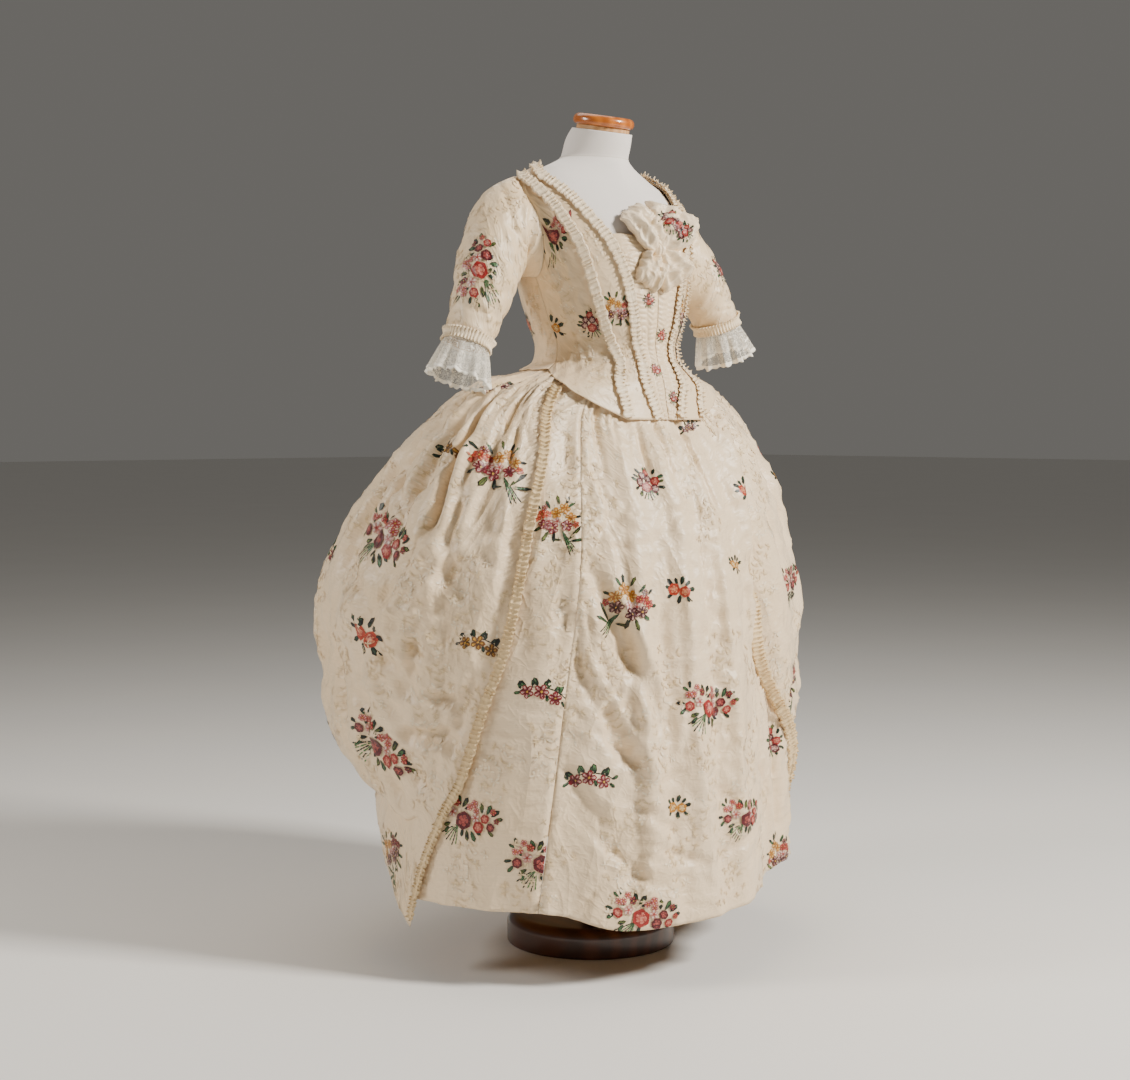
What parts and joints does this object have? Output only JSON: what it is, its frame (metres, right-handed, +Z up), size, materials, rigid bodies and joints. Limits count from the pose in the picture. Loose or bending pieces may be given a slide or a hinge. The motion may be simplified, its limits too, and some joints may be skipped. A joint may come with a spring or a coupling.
{
  "type": "silk dress on dress form",
  "caption": "Open robe of flowered ivory silk, looped up over its matching petticoat, with ruffled front, breast bow and lace cuffs, on a limbless dress form on a round wooden base.",
  "frame": {"origin": "centre of the round base's underside, on the floor", "axes": "+Z up, the dress faces -Y, the wearer's right is -X"},
  "size_m": [0.858, 0.8102, 1.4284],
  "materials": {
    "silk": "ivory silk with woven flowers, soft sheen",
    "trim_silk": "gathered ivory silk ribbon",
    "lace": "off-white cotton lace",
    "form_cover": "smooth off-white jersey",
    "dark_wood": "dark brown varnish",
    "honey_wood": "honey-orange gloss varnish",
    "pale_wood": "pale waxed wood"
  },
  "bodies": {
    "root": {"bodice_back_left": "silk", "bodice_back_right": "silk", "bodice_front_left": "silk", "bodice_front_right": "silk", "bow_knot": "silk", "bow_lower_loop_left": "silk", "bow_lower_loop_right": "silk", "bow_upper_loop_left": "silk", "bow_upper_loop_right": "silk", "cuff_band_left": "trim_silk", "cuff_band_right": "trim_silk", "form_base": "dark_wood", "form_neck_cap": "honey_wood", "form_neck_collar": "pale_wood", "form_post": "dark_wood", "form_torso": "form_cover", "front_panel_left": "silk", "front_panel_right": "silk", "lace_cuff_left": "lace", "lace_cuff_right": "lace", "petticoat_back": "silk", "petticoat_front": "silk", "petticoat_left": "silk", "petticoat_right": "silk", "robe_edge_ruffle_left": "trim_silk", "robe_edge_ruffle_right": "trim_silk", "robe_skirt_left": "silk", "robe_skirt_right": "silk", "robing_inner_ruffle_left": "trim_silk", "robing_inner_ruffle_right": "trim_silk", "robing_left": "silk", "robing_outer_ruffle_left": "trim_silk", "robing_outer_ruffle_right": "trim_silk", "robing_right": "silk", "sleeve_left": "silk", "sleeve_right": "silk"}
  },
  "joints": []
}
